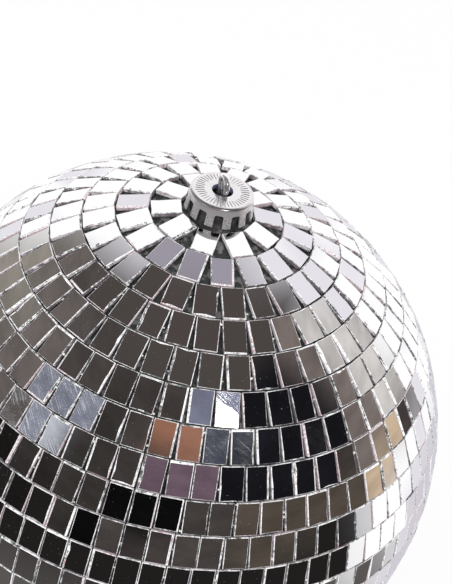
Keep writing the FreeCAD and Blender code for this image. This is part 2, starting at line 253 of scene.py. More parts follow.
class CapSettings(bpy.types.PropertyGroup):
    """Sizes of the cap, and colours of the cap, the loop and the plastic."""

    metal: colour_setting("Cap metal", "Pressed aluminium", (232, 229, 231))
    sheet: length_setting("Sheet", "Thickness of the cap's metal", 0.4)
    shoulder: length_setting("Shoulder", "Outer radius of the rounded shoulder", 1.0)
    flare: length_setting("Flare", "How much wider the skirt's foot is than the top", 0.8)
    spread: length_setting("Spread", "How much further the bent ends of the tabs stand out", 0.12)
    slot_width: length_setting("Slot width", "Slot between two tabs", 2.7)
    slot_height: length_setting("Slot height", "Slot between two tabs", 4.1)
    wire: colour_setting("Loop wire", "Plated wire", (250, 249, 252))
    core: colour_setting("Core", "Plastic ball under the glass", (50, 54, 53))
    glue: colour_setting("Glue", "Dried glue on the plastic", (112, 110, 110))


class StudioSettings(bpy.types.PropertyGroup):
    """Light, floor and camera."""

    level: bpy.props.FloatProperty(name="Light level", description="Even light from all round",
                                   default=0.84, min=0)
    lamp: power_setting("Key lamp", "Power of the lamp in front", 3.0)
    key: power_setting("Key light", "Power of the soft light beside it", 9.0)
    fill: power_setting("Fill lamp", "Power of the wide fill lamp", 9.0)
    floor: colour_setting("Floor", "Pale floor", (244, 244, 244))
    lens: bpy.props.FloatProperty(name="Lens", description="Focal length", default=85.0,
                                  min=1, subtype="DISTANCE_CAMERA", unit="CAMERA")


def settings():
    """The scene's settings for this object."""
    return bpy.context.scene.mirror_ball


class BallSettings(bpy.types.PropertyGroup):
    """All settings of the mirror ball."""

    mirrors: bpy.props.PointerProperty(type=MirrorSettings)
    cap: bpy.props.PointerProperty(type=CapSettings)
    studio: bpy.props.PointerProperty(type=StudioSettings)


# ---- meshes

def add_piece(name, points, loops, counts, materials, finish=None, uv=None, smooth=False):
    """Mesh object from whole arrays: points, each face's corners in a row, corners per face."""
    mesh = bpy.data.meshes.new(name)
    mesh.vertices.add(len(points))
    mesh.vertices.foreach_set("co", np.asarray(points, np.float32).ravel())
    mesh.loops.add(len(loops))
    mesh.loops.foreach_set("vertex_index", np.asarray(loops, np.int32))
    mesh.polygons.add(len(counts))
    mesh.polygons.foreach_set("loop_start", np.cumsum([0, *counts[:-1]]).astype(np.int32))
    if finish is not None:
        mesh.polygons.foreach_set("material_index", np.asarray(finish, np.int32))
    if uv is not None:
        layer = mesh.uv_layers.new(name="glass")
        layer.data.foreach_set("uv", np.asarray(uv, np.float32).ravel())
    for material in materials:
        mesh.materials.append(material)
    mesh.update(calc_edges=True)
    mesh.polygons.foreach_set("use_smooth", np.full(len(counts), smooth))
    mesh.validate()
    piece = bpy.data.objects.new(name, mesh)
    bpy.context.scene.collection.objects.link(piece)
    return piece


def add_mark(piece, name, where, values):
    """Number at each of a piece's faces or points, which its material reads."""
    spots = piece.data.attributes.new(name, "FLOAT", where)
    spots.data.foreach_set("value", values.astype(np.float32))


def disc_faces(turns, rings):
    """Faces round point 0 and of the bands between the rings of points that follow it."""
    here, after = np.arange(turns), np.roll(np.arange(turns), -1)
    fan = np.stack([0 * here, here + 1, after + 1], 1)
    bands = [np.stack([here, here + turns, after + turns, after], 1) + 1 + turns * ring
             for ring in range(rings - 1)]
    loops = np.concatenate([fan.ravel(), *(band.ravel() for band in bands)])
    return loops, [3] * turns + [4] * (turns * (rings - 1))


def node_points(name):
    """Corners of a CAD node's mesh as an array."""
    mesh = NODES[name].data
    points = np.empty(len(mesh.vertices) * 3, np.float32)
    mesh.vertices.foreach_get("co", points)
    return points.reshape(-1, 3).astype(float)


# Distances under these count as none: between loose corners, along a side, from the axis.
# The last is how nearly a box's sides have to agree.
SAME_POINT, SAME_SIDE, ON_AXIS, AGREES = 1e-5, 1e-4, 1e-3, 1e-3
BOX_CORNERS = 24


def mirror_frames(name):
    """Middle, three unit directions and half sizes of every mirror in a CAD node.

    Each mirror is a box of 24 loose corners. From one corner the nearest other corner lies
    across the glass; with that taken away, the farthest left is the diagonal, and the two
    others are the sides. The side nearer the ball's turning direction runs along the row.
    """
    boxes = node_points(name).reshape(-1, BOX_CORNERS, 3)
    middle = boxes.mean(1)
    away = boxes - boxes[:, :1]
    span = np.linalg.norm(away, axis=2)
    nearest = np.where(span > SAME_POINT, span, np.inf).argmin(1)
    every = np.arange(len(boxes))
    thick = span[every, nearest] / 2
    out = away[every, nearest] / (2 * thick[:, None])
    outward = middle - CENTRE
    out *= np.sign((out * outward).sum(1))[:, None]
    flat = away - (away * out[:, None]).sum(2, keepdims=True) * out[:, None]
    reach = np.linalg.norm(flat, axis=2)
    longest = reach.max(1, keepdims=True)
    side = (reach > SAME_SIDE) & (reach < longest - SAME_SIDE)
    east = np.stack([-outward[:, 1], outward[:, 0], np.zeros(len(boxes))], 1)
    east[np.linalg.norm(east, axis=1) < ON_AXIS] = (1, 0, 0)
    turn = np.abs((flat * east[:, None]).sum(2)) / np.maximum(reach, 1e-9)
    along = np.where(side, turn, -1).argmax(1)
    across = np.where(side, turn, np.inf).argmin(1)
    half_a, half_b = reach[every, along] / 2, reach[every, across] / 2
    a = flat[every, along] / (2 * half_a[:, None])
    a *= np.sign((a * east).sum(1))[:, None]
    b = np.cross(out, a)
    if not np.allclose(np.abs((b * flat[every, across]).sum(1)), 2 * half_b, rtol=AGREES):
        raise RuntimeError(f"the boxes of {name} aren't the mirrors this script expects")
    return middle, a, b, out, half_a, half_b, thick


# Patches where hands have scuffed the glass: azimuth from the front, height and reach, in
# degrees, then how much.
HANDLED = ((-28, 38.5, 8.0, 1.0), (13.5, 44, 5.4, 0.5))


def direction(azimuth, height):
    """Unit vector at an azimuth from the front, positive towards +X, and a height, in degrees."""
    a, e = np.radians(azimuth), np.radians(height)
    return np.array([np.sin(a) * np.cos(e), -np.cos(a) * np.cos(e), np.sin(e)])


# Outline of a mirror, anticlockwise from outside: lower, right, upper and left side, each
# with its two clipped corners and one or two points between.
SIDE = np.array([0, 0, 0, 1, 1, 1, 1, 2, 2, 2, 3, 3, 3, 3])
SHARE = np.array([0, 0.5, 1, 0, 0.34, 0.67, 1, 0, 0.5, 1, 0, 0.34, 0.67, 1])
ENDS = (SHARE == 0) | (SHARE == 1)
STARTS = np.array([(-1, -1), (1, -1), (1, 1), (-1, 1)], float)
RUNS = np.roll(STARTS, -1, axis=0) - STARTS
INWARD = np.array([(0, 1), (-1, 0), (0, -1), (1, 0)], float)
# Ranges of the hand-cut glass, in millimetres: clipped corners, roughness of the outline,
# roughness of the face's edge, chips, and how far the broken edge may drop.
CLIP, ROUGH, BITE, CHIP, DROP = (0.04, 0.16), (0, 0.05), (0, 0.07), (0.1, 0.45), (0.04, 0.9)
# Ranges as shares: a point's stray along its side, an edge's width against its usual one
# and against the widest slanting break, its drop against its width, that drop's stray
# from point to point, and how much the back is smaller than the face.
STRAY, EDGE_WIDTH, SLANT_WIDTH = (-0.1, 0.1), (0.55, 1.35), (0.3, 1.0)
SLOPE, SLOPE_STRAY, UNDERCUT = (0.5, 1.1), (0.7, 1.3), (0.0, 0.02)
# How readily the lower, right, upper and left edge break at a slant.
SLANTS = np.array([0.4, 1.0, 1.2, 1.0])
# How scuffed a mirror is, in a handled patch and elsewhere; below 0 is not at all.
SCUFFED, STRAY_SCUFF = (0.7, 1), (-6, 0.18)
# Reach in millimetres over which each mirror's pattern is shifted.
PATTERN_SHIFT = 60


def cut_mirrors(name, node, seed, materials):
    """Mirrors of one node as cut glass.

    Every mirror keeps its CAD box. Its outline runs round the box's face with clipped
    corners and a little inward roughness. The silvered face is that outline drawn in by
    each side's broken edge, the broken edge slopes down to the outline, and the wall goes
    straight to the back. A few points have a deeper chip.
    """
    made = settings().mirrors
    middle, a, b, out, half_a, half_b, thick = mirror_frames(node)
    rng = np.random.default_rng(seed)
    mirrors, corners = len(middle), len(SIDE)
    half = np.stack([half_a, half_b], 1)[:, None]
    clip = rng.uniform(*CLIP, (mirrors, corners)) * MM
    shift = rng.uniform(*STRAY, (mirrors, corners))
    lengths = 2 * (np.abs(RUNS[SIDE]) / 2 * half).sum(2)
    share = np.where(ENDS, SHARE + np.where(SHARE == 0, 1, -1) * clip / lengths, SHARE + shift)
    flat = (STARTS[SIDE] + RUNS[SIDE] * share[..., None]) * half
    flat += INWARD[SIDE] * (rng.uniform(*ROUGH, (mirrors, corners)) * MM)[..., None]
    # Width of the broken edge on each of the four sides.
    usual = np.array([made.foot_edge, made.side_edge, made.pole_edge, made.side_edge])
    width = usual * rng.uniform(*EDGE_WIDTH, (mirrors, 4))
    slanted = rng.random((mirrors, 4)) < SLANTS * made.wide_share
    width += slanted * rng.uniform(*SLANT_WIDTH, (mirrors, 4)) * made.wide_edge
    slope = rng.uniform(*SLOPE, (mirrors, 4))
    low = np.stack([width[:, 3], width[:, 0]], 1)[:, None]
    high = np.stack([width[:, 1], width[:, 2]], 1)[:, None]
    drawn = flat * (1 - (low + high) / 2 / half) + (low - high) / 2
    chipped = (rng.random((mirrors, corners)) < made.chip_share) & ~ENDS
    bite = rng.uniform(*BITE, (mirrors, corners)) * MM
    bite += chipped * rng.uniform(*CHIP, (mirrors, corners)) * MM
    drawn = drawn + INWARD[SIDE] * bite[..., None]
    drop = (width[:, SIDE] + bite) * slope[:, SIDE]
    drop = drop * rng.uniform(*SLOPE_STRAY, (mirrors, corners))
    drop = np.clip(drop, DROP[0] * MM, DROP[1] * MM)
    under = flat * (1 - rng.uniform(*UNDERCUT, (mirrors, corners)))[..., None]
    top = thick[:, None] * np.ones(corners)
    rings = [(drawn, top), (flat, top - drop), (under, -top)]
    points = np.stack([middle[:, None] + ring[..., :1] * a[:, None] + ring[..., 1:] * b[:, None]
                       + height[..., None] * out[:, None] for ring, height in rings], 1)
    # Faces of one mirror: face, back, then the sloping edge and the wall, side by side.
    here = np.arange(corners)
    after = np.roll(here, -1)
    quads = [np.stack([here + upper, here + lower, after + lower, after + upper], 1)
             for upper, lower in ((0, corners), (corners, 2 * corners))]
    one = np.concatenate([here, (here + 2 * corners)[::-1], *(q.ravel() for q in quads)])
    counts = np.tile([corners, corners] + [4] * (2 * corners), mirrors)
    finish = np.tile([0, 1] + [1] * (2 * corners), mirrors)
    loops = (one + (np.arange(mirrors) * 3 * corners)[:, None]).ravel()
    # Face: millimetres across the glass. Edges: millimetres along and down the cut. The map
    # holds them in centimetres, shifted by a different amount on each mirror.
    offset = rng.uniform(0, PATTERN_SHIFT, (mirrors, 1, 2))
    along = np.cumsum(np.linalg.norm(np.diff(flat, axis=1, prepend=flat[:, -1:]), axis=2), 1)
    along -= along[:, :1]
    around = np.concatenate([along, along[:, -1:] + 1 * MM], 1)
    depth = np.cumsum(np.stack([0 * drop, np.hypot(drop, width[:, SIDE]), 2 * top - drop]), 0)
    pieces = [drawn / MM, under[:, ::-1] / MM]
    for upper, lower in ((0, 1), (1, 2)):
        left, right = around[:, :-1], around[:, 1:]
        turn = np.roll(depth, -1, axis=2)
        quad = np.stack([np.stack([left, depth[upper]], 2), np.stack([left, depth[lower]], 2),
                         np.stack([right, turn[lower]], 2), np.stack([right, turn[upper]], 2)], 2)
        pieces.append(quad.reshape(mirrors, -1, 2) / MM)
    uv = (np.concatenate(pieces, 1) + offset).reshape(-1, 2) / 10
    piece = add_piece(name, points.reshape(-1, 3), loops, counts, materials, finish, uv)
    outward = (middle - CENTRE) / np.linalg.norm(middle - CENTRE, axis=1, keepdims=True)
    handled = np.max([(outward @ direction(*spot[:2]) > np.cos(np.radians(spot[2]))) * spot[3]
                      for spot in HANDLED], axis=0)
    worn = np.where(handled > 0, handled * rng.uniform(*SCUFFED, mirrors),
                    rng.uniform(*STRAY_SCUFF, mirrors))
    draws = np.repeat(np.clip(worn, 0, 1), 2 + 2 * corners)
    # Brightness of each side's broken edge, which its material paints as glints, a painted highlight;
    # face and back get the middle value.
    glints = rng.random((mirrors, 4))[:, SIDE]
    glints = np.concatenate([np.ones((mirrors, 2)) / 2, glints, glints], 1).ravel()
    down = np.tile(np.repeat([0.0, 1.0, 2.0], corners), mirrors)
    add_mark(piece, "scuffed", "FACE", draws)
    add_mark(piece, "edge_glint", "FACE", glints)
    add_mark(piece, "down_the_cut", "POINT", down)
    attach(piece, "ball")
    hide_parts(node)


# Crumbs of glue: the rows they lie in, their number and seed, and the cells of each, round
# it and from tip to tip.
CRUMB_ROWS, CRUMBS, CRUMB_SEED, CRUMB_CELLS = slice(2, 11), 320, 41, (6, 4)
# Crumbs in millimetres: distance from the mirror's side, range of half lengths, and how
# much of that they measure along the row, across it and outwards.
CRUMB_GAP, CRUMB_SIZE, CRUMB_SHAPE = 0.32, (0.22, 0.58), np.array([1.0, 0.8, 0.6])
# Ranges as shares: place along the mirror's side, height in its glass, unevenness.
CRUMB_ALONG, CRUMB_UP, CRUMB_ROUGH = (-0.95, 0.95), (0.1, 0.55), (0.7, 1.3)


def glue_crumbs(name, count, material):
    """Crumbs of glue and glass in the gaps beside mirrors.

    Each crumb is a ball of a few cells, flattened, with every corner pushed in or out at
    random. Its middle lies beside a mirror, lower than its face, in a row above the widest.
    """
    rng = np.random.default_rng(CRUMB_SEED)
    frames = [mirror_frames(node) for node in ROW_NAMES[CRUMB_ROWS]]
    middle, a, b, out, half_a, half_b, thick = (np.concatenate(part) for part in zip(*frames))
    chosen = rng.choice(len(middle), count, replace=False)
    across = rng.choice([-1, 1], (count, 1)) * (half_a[chosen, None] + CRUMB_GAP * MM)
    along = rng.uniform(*CRUMB_ALONG, (count, 1)) * half_b[chosen, None]
    deep = rng.uniform(*CRUMB_UP, (count, 1)) * thick[chosen, None]
    spot = middle[chosen] + across * a[chosen] + along * b[chosen] + deep * out[chosen]
    turns, levels = CRUMB_CELLS
    around = np.linspace(0, 2 * np.pi, turns, endpoint=False)
    tip = np.linspace(0, np.pi, levels + 1)[1:-1]
    ring = np.stack([np.outer(np.sin(tip), np.cos(around)), np.outer(np.sin(tip), np.sin(around)),
                     np.outer(np.cos(tip), np.ones(turns))], 2).reshape(-1, 3)
    unit = np.vstack([[0, 0, 1], ring, [0, 0, -1]])
    size = rng.uniform(*CRUMB_SIZE, (count, 1, 1)) * MM * CRUMB_SHAPE
    rough = rng.uniform(*CRUMB_ROUGH, (count, len(unit), 1))
    local = unit * size * rough
    axes = np.stack([a[chosen], b[chosen], out[chosen]], 1)
    points = spot[:, None] + np.einsum("nvk,nkc->nvc", local, axes)
    upper, counts = disc_faces(turns, levels - 1)
    last = 1 + turns * (levels - 2) + np.arange(turns)
    foot = np.stack([np.full(turns, len(unit) - 1), np.roll(last, -1), last], 1)
    one = np.concatenate([upper, foot.ravel()])
    counts = (counts + [3] * turns) * count
    loops = (one + (np.arange(count) * len(unit))[:, None]).ravel()
    piece = add_piece(name, points.reshape(-1, 3), loops, counts, [material], smooth=True)
    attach(piece, "ball")


def ripple(x, y, rng, waves, length):
    """Smooth uneven height from -1 to 1: a sum of sine waves that run every way."""
    turn = rng.uniform(0, 2 * np.pi, waves)
    pitch = length * rng.uniform(0.7, 1.6, waves)
    start = rng.uniform(0, 2 * np.pi, waves)
    phase = (x[..., None] * np.cos(turn) + y[..., None] * np.sin(turn)) * 2 * np.pi / pitch + start
    return np.sin(phase).sum(-1) / np.sqrt(waves / 2) / 2


# Cap: tabs, turn of the first slot from +X, seed, and columns of cells from slot to slot.
CAP_TABS, CAP_TURN, CAP_SEED, SECTOR_COLUMNS = 12, np.radians(5.0), 5, 40
# Flat top in millimetres: the lip's stations from the hole and how far they dip, then the
# radii of the stations up to the shoulder, closest at the ends of the ticks.
LIP, LIP_DIP = np.array([0, 0.12, 0.3]), np.array([0.12, 0.03, 0])
FLAT = np.array([4.4, 5.2, 5.5, 5.8, 6.1, 6.9, 7.6, 8.0, 8.2, 8.4])
# Ring of ticks: how many, then inner and outer radius, stray of the inner ends and depth,
# in millimetres, the outer ends' share of that stray, and a tick's share of its spacing.
TICKS, TICK_INNER, TICK_OUTER, TICK_STRAY, TICK_DEPTH = 44, 5.7, 8.3, 0.35, 0.11
TICK_OUTER_STRAY, TICK_SHARE = 0.4, 0.24
# Rounding of the slots' corners in millimetres, and how sharply the tabs' spread grows.
SLOT_ROUND, SPREAD_POWER = 0.45, 1.5
# Uneven metal: height in millimetres, number of waves and their length in millimetres.
HAMMERED, TOP_WAVES = (0.045, 14, 0.9), (0.012, 9, 3.0)
# Edges that bend more than this stay sharp on smooth pieces.
SHARP = np.radians(38)


def press_cap(name, materials):
    """Pressed crown cap as one sheet of metal with two faces.

    The outer face is a profile turned about the ball's axis: flat top with a ring of
    pressed ticks, rounded shoulder, short band, then the skirt, which spreads towards its
    end. The inner face is the same surface moved in by the sheet's thickness. Cells of the
    skirt that fall in a slot are left out, and a wall joins the two faces along every edge.
    """
    made = settings().cap
    low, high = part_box("crown_cap")
    reach = np.hypot(*node_points("crown_cap")[:, :2].T)
    hole, foot, top = reach.min(), reach.max(), high.z
    band = foot - made.flare
    lean = made.flare / (top - low.z)
    shoulder, sheet = made.shoulder, made.sheet
    slot_top = low.z + made.slot_height
    # Profile: radius, height, and how far along it the skirt has come.
    flat = np.concatenate([hole + LIP * MM, FLAT * MM,
                           [band - shoulder - 0.1 * MM, band - shoulder]])
    sag = np.zeros(len(flat))
    sag[:len(LIP)] = LIP_DIP * MM
    bend = np.radians(np.linspace(9, 90, 10))
    fall = np.linspace(0, 1, 5)[1:]
    down = np.linspace(0, 1, 13)[1:]
    radius = np.concatenate([flat, band - shoulder + shoulder * np.sin(bend),
                             band + 0 * fall, band + 0 * down])
    height = np.concatenate([top - sag, top - shoulder * (1 - np.cos(bend)),
                             top - shoulder - fall * (top - shoulder - slot_top),
                             slot_top - down * (slot_top - low.z)])
    skirt = np.concatenate([np.zeros(len(flat) + len(bend)), 0 * fall, down])
    first_slot_row = len(radius) - 1 - len(down)
    # Columns: each sector has a slot and a tab, with a column on both edges of the slot.
    half_slot = np.arcsin(made.slot_width / 2 / band)
    sector = 2 * np.pi / CAP_TABS
    columns = SECTOR_COLUMNS // 2
    across = np.concatenate([np.linspace(-half_slot, half_slot, columns, endpoint=False),
                             np.linspace(half_slot, sector - half_slot, columns, endpoint=False)])
    turn = (np.arange(CAP_TABS)[:, None] * sector + across + CAP_TURN).ravel()
    in_slot = np.tile(np.arange(SECTOR_COLUMNS) < columns, CAP_TABS)
    # Slots end in rounded corners: the height of the slot's top dips at both its edges.
    spot = np.tile(across / half_slot, CAP_TABS)
    spot = np.where(spot > 1, (sector / half_slot - 1 - spot) / (sector / half_slot / 2 - 1) + 1, spot)
    corner = np.clip(np.abs(spot), 0, 1) ** 6 * np.where(np.abs(spot) > 1, 0, 1)
    edge_like = np.exp(-((np.abs(spot) - 1) / 0.22) ** 2)
    dip = SLOT_ROUND * MM * np.maximum(corner, edge_like)
    near_top = np.clip(1 - np.abs(np.arange(len(radius)) - first_slot_row) / 4, 0, 1)
    hh = height[:, None] - near_top[:, None] * dip
    tt = np.repeat(turn[None], len(radius), 0)
    rng = np.random.default_rng(CAP_SEED)
    # Tabs spread outwards, each a little differently, and their faces are hammered.
    tab = np.repeat(np.arange(CAP_TABS), SECTOR_COLUMNS)
    spread = made.spread * rng.uniform(0.85, 1.15, CAP_TABS)[tab]
    plain_r = radius[:, None] + lean * (top - height)[:, None] + skirt[:, None] ** SPREAD_POWER * spread
    uneven, *waves = HAMMERED
    rr = plain_r + (skirt[:, None] > 0) * uneven * MM * ripple(tt * band / MM, hh / MM, rng, *waves)
    uneven, *waves = TOP_WAVES
    across_top = ripple(rr * np.cos(tt) / MM, rr * np.sin(tt) / MM, rng, *waves)
    hh += (rr < band - shoulder) * uneven * MM * across_top
    # Ring of ticks pressed into the top.
    beat = np.abs((tt * TICKS / (2 * np.pi)) % 1 - 0.5) * 2
    ends = rng.uniform(-TICK_STRAY, TICK_STRAY, (2, TICKS)) * MM
    ends = ends[:, (tt * TICKS / (2 * np.pi)).astype(int) % TICKS]
    window = (rr > TICK_INNER * MM + ends[0]) & (rr < TICK_OUTER * MM + ends[1] * TICK_OUTER_STRAY)
    groove = np.clip(1.15 - beat / TICK_SHARE, 0, 1) * window
    hh -= TICK_DEPTH * MM * groove
    outer = np.stack([rr * np.cos(tt), rr * np.sin(tt), hh], 2)
    step_r = np.gradient(plain_r, axis=0)
    step_h = np.gradient(np.repeat(height[:, None], len(turn), 1), axis=0)
    size = np.hypot(step_r, step_h)
    in_r = plain_r + sheet * step_h / size
    in_h = height[:, None] - near_top[:, None] * dip - sheet * step_r / size
    inner = np.stack([in_r * np.cos(tt), in_r * np.sin(tt), in_h], 2)
    kept = ~((np.arange(len(radius) - 1)[:, None] >= first_slot_row) & in_slot[None])
    faces, points, used = sheet_faces(outer, inner, kept)
    marks = np.concatenate([groove.ravel(), 0 * groove.ravel()])[used]
    hammer = np.concatenate([np.repeat(skirt, len(turn))] * 2)[used]
    piece = add_piece(name, points, faces.ravel(), [4] * len(faces), materials, smooth=True)
    piece.data.set_sharp_from_angle(angle=SHARP)
    add_mark(piece, "tick", "POINT", marks)
    add_mark(piece, "skirt", "POINT", hammer)
    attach(piece, "ball")
    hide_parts("crown_cap")


def sheet_faces(outer, inner, kept):
    """Quads of a sheet closed round the axis, from two grids of points and the cells kept.

    The outer face has its cells as they are, the inner face has them turned over, and each
    grid edge with a kept cell on one side only gets a wall between the two faces.
    """
    rows, columns = outer.shape[:2]
    number = np.arange(rows * columns).reshape(rows, columns)
    beside = np.roll(number, -1, axis=1)
    inside = rows * columns
    cell = np.stack([number[:-1], number[1:], beside[1:], beside[:-1]], 2)[kept]
    faces = [cell, cell[:, ::-1] + inside]
    solid = kept.astype(int)
    fence = np.pad(solid, ((1, 1), (0, 0)))
    for change, first, second in ((fence[1:] - fence[:-1], number, beside),
                                  (solid - np.roll(solid, 1, axis=1), number[1:], number[:-1])):
        for sign, start, end in ((1, first, second), (-1, second, first)):
            a, b = start[change == sign], end[change == sign]
            faces.append(np.stack([a, b, b + inside, a + inside], 1))
    faces = np.concatenate(faces)
    used, faces = np.unique(faces, return_inverse=True)
    points = np.concatenate([outer.reshape(-1, 3), inner.reshape(-1, 3)])[used]
    return faces.reshape(-1, 4), points, used


# ---- finishes

def mirror_face():
    """Silvered glass with faint wipe marks and dust; scuffed mirrors have fine scratches, and their
    colour holds a painted blue reflection.
    """
    material, tree = new_material("silvered_mirror")
    place = cut_place(tree)
    worn = mark(tree, "scuffed")
    haze = noise(tree, place, 2.2, 3.0, 0.6).ramp(0.45, 0.75)
    wipe = noise(tree, stretch(tree, place, (14, 1.2, 1), (0, 0, 0.5)), 3.0, 4.0, 0.7).ramp(0.55, 0.8)
    dust = noise(tree, place, 30.0, 2.0, 0.6).ramp(0.72, 0.77)
    lines = noise(tree, stretch(tree, place, (0.8, 38, 1), (0, 0, -0.7)), 1.0, 2.0, 0.6).ramp(0.54, 0.66)
    cross = noise(tree, stretch(tree, place, (1.2, 46, 1), (0, 0, 0.4)), 1.0, 2.0, 0.6).ramp(0.60, 0.70)
    specks = noise(tree, place, 34.0, 2.0, 0.6).ramp(0.62, 0.68)
    cloud = noise(tree, place, 2.0, 1.0).ramp(0.36, 0.62, 0.15, 1.0)
    scuff = (worn * (cloud * (lines * 0.8 + cross * 0.4) + specks)).maths("MINIMUM", 1.0)
    scuff_film_and_blue_sheen = worn * cloud * 0.07
    silver = (*settings().mirrors.silver, 1)
    # Dust and scuffs are painted pale blue and scuffed mirrors get a thin blue film: real dust and
    # scratches, with a painted reflection of cool window light in their colour.
    base = mix_colour(tree, (dust * 0.5 + scuff).maths("MINIMUM", 1.0), silver, (0.86, 0.89, 0.95, 1))
    base = mix_colour(tree, scuff_film_and_blue_sheen, base, linear((176, 194, 226)))
    close_material(tree, {
        "Base Color": base,
        "Metallic": 1 - (dust * 0.75 + scuff * 0.6 + scuff_film_and_blue_sheen * 0.7).maths("MINIMUM", 0.9),
        "Roughness": 0.005 + haze * 0.012 + wipe * 0.02 + scuff * 0.3 + dust * 0.4,
        "Normal": bump(tree, noise(tree, place, 1.1, 1.0), 0.02 * MM, 0.25)})
    return material


def mirror_edge():
    """Broken glass: painted highlights along both rims of the cut and brighter on some edges than
    others, grey-green down its wall and darker towards the back with painted shade.
    """
    material, tree = new_material("broken_glass_edge")
    place = cut_place(tree)
    made = settings().mirrors
    down, glint = mark(tree, "down_the_cut"), mark(tree, "edge_glint")
    grain = noise(tree, stretch(tree, place, (1.0, 1.8, 1)), 17.0, 4.0, 0.7)
    broad = noise(tree, place, 5.0, 2.0, 0.5)
    # Painted highlights on both rims of the cut: beside the silvered face and at the outline.
    rim_highlights = down.ramp(0.45, 0.05) + abs(down - 1).ramp(0.3, 0.0)
    # Brightness of the edge: the glass's grain and broad mottling, plus painted glints that differ from
    # edge to edge and the painted rim highlights.
    light = grain + (broad - 0.5) * 0.7 + (glint - 0.5) * 0.24 + rim_highlights * 0.1
    base = mix_colour(tree, light.ramp(0.36, 0.56), (*made.edge_dark, 1), (*made.edge, 1))
    # Wall: mauve-grey, painted lighter on some edges as painted light that the glass would carry and
    # glint with, with pale flecks, then darkened towards the back as painted shade.
    wall = paint_over(
        tree, linear((138, 128, 136)),
        ((broad + (glint - 0.5) * 0.5).ramp(0.35, 0.62), (240, 234, 238)),
        (grain.ramp(0.60, 0.68) * 0.6, (244, 244, 244)),
        (down.ramp(1.7, 1.98) * 0.7, (64, 64, 64)))
    base = mix_colour(tree, down.ramp(1.02, 1.12), base, wall)
    tint = noise(tree, stretch(tree, place, (1, 1, 1), shift=(7, 3, 0)), 7.0, 1.0)
    # Near the back the edge turns grey-green, partly the glass's own tint and partly painted shade.
    base = paint_over(
        tree, base,
        (down.ramp(1.74, 1.88) * 0.7, (92, 104, 98)),
        (down.ramp(1.8, 1.9) * tint.ramp(0.62, 0.68), (160, 112, 104)),
        (tint.ramp(0.60, 0.70) * 0.5, (164, 132, 148)),
        (glint.ramp(0.84, 0.86) * grain.ramp(0.58, 0.44) * 0.7, (172, 132, 144)),
        (tint.ramp(0.69, 0.73) * 0.5, (178, 108, 100)),
        (tint.ramp(0.36, 0.28) * 0.45, (84, 128, 122)))
    close_material(tree, {
        "Base Color": base,
        "Metallic": 0.3 * light.ramp(0.5, 0.3),
        "Roughness": 0.16 + 0.3 * grain,
        "Normal": bump(tree, grain, 0.12 * MM, 0.7)})
    return material


def dried_glue():
    """Crumbs of clear glue and glass: whitish, glossy and cloudy."""
    material, tree = new_material("dried_glue")
    cloud = noise(tree, object_place(tree), 1500.0, 2.0)
    base = paint_over(tree, linear((196, 192, 188)), (cloud.ramp(0.35, 0.65), (250, 250, 250)))
    close_material(tree, {
        "Base Color": base, "Roughness": 0.15 + 0.3 * cloud,
        "Normal": bump(tree, cloud, 0.1 * MM, 0.5)})
    return material


def plated_wire():
    """Bright plated wire with fine wear in patches."""
    material, tree = new_material("loop_wire_plated")
    place = object_place(tree)
    grain = noise(tree, place, 320.0, 4.0, 0.7)
    patch = noise(tree, place, 320.0 / 6, 2.0)
    wire = (*settings().cap.wire, 1)
    base = mix_colour(tree, patch.ramp(0.4, 0.75) * 0.2, wire, (0.45, 0.45, 0.48, 1))
    close_material(tree, {
        "Base Color": base, "Metallic": 0.86,
        "Roughness": 0.10 + 0.16 * grain * patch.ramp(0.3, 0.7, 0.3, 1.0),
        "Normal": bump(tree, grain, 0.012 * MM, 0.12)})
    return material


def cap_metal(top):
    """Pressed aluminium: finely brushed top, painted shade in its ticks, frosted hammered skirt."""
    material, tree = new_material("cap_metal_pressed")
    place = object_place(tree)
    side = (top - axis_of(tree, place, 2)).ramp(0.3 * MM, 1.1 * MM)
    tick, skirt = mark(tree, "tick"), mark(tree, "skirt")
    frost = skirt.ramp(0.05, 0.3)
    brush = noise(tree, stretch(tree, place, (260, 1800, 600)), 1.0, 2.0, 0.6)
    speck = noise(tree, place, 1900.0, 2.0, 0.6)
    patch = noise(tree, place, 260.0, 3.0, 0.6)
    worn = frost * speck.ramp(0.42, 0.62)
    # The ticks are painted darker grey, a painted shade in their pressed grooves.
    base = paint_over(
        tree, (*settings().cap.metal, 1),
        (patch.ramp(0.4, 0.7) * 0.16, (178, 172, 174)),
        (worn * 0.55, (120, 118, 120)),
        (tick.ramp(0.1, 0.7) * 0.66, (92, 88, 94)))
    close_material(tree, {
        "Base Color": base,
        "Metallic": 0.94 - side * 0.22 - frost * 0.10,
        "Roughness": 0.17 + 0.10 * brush + side * 0.13 + frost * 0.07 - worn * 0.1,
        "Normal": bump(tree, frost * speck, 0.1 * MM, 0.6)})
    return material


def neck_plastic():
    """Glossy moulded plastic of the neck: dark outside, blue-grey in its bore as a painted reflection.
    """
    material, tree = new_material("neck_plastic_moulded")
    place = object_place(tree)
    x, y = (axis_of(tree, place, number) for number in range(2))
    away = (x * x + y * y) ** 0.5
    fine = noise(tree, place, 2200.0, 2.0)
    cloud = noise(tree, place, 420.0, 2.0)
    # The bore is painted blue-grey, a painted reflection of the loop and the sky in what would be a dark
    # hole.
    base = paint_over(
        tree, linear((40, 41, 41)),
        (cloud.ramp(0.35, 0.7), (72, 73, 72)),
        (away.ramp(8.0 * MM, 7.4 * MM), (132, 134, 168)))
    close_material(tree, {
        "Base Color": base, "Roughness": 0.16 + 0.14 * cloud,
        "Normal": bump(tree, cloud + 0.1 * fine, 0.2 * MM, 0.6)})
    return material


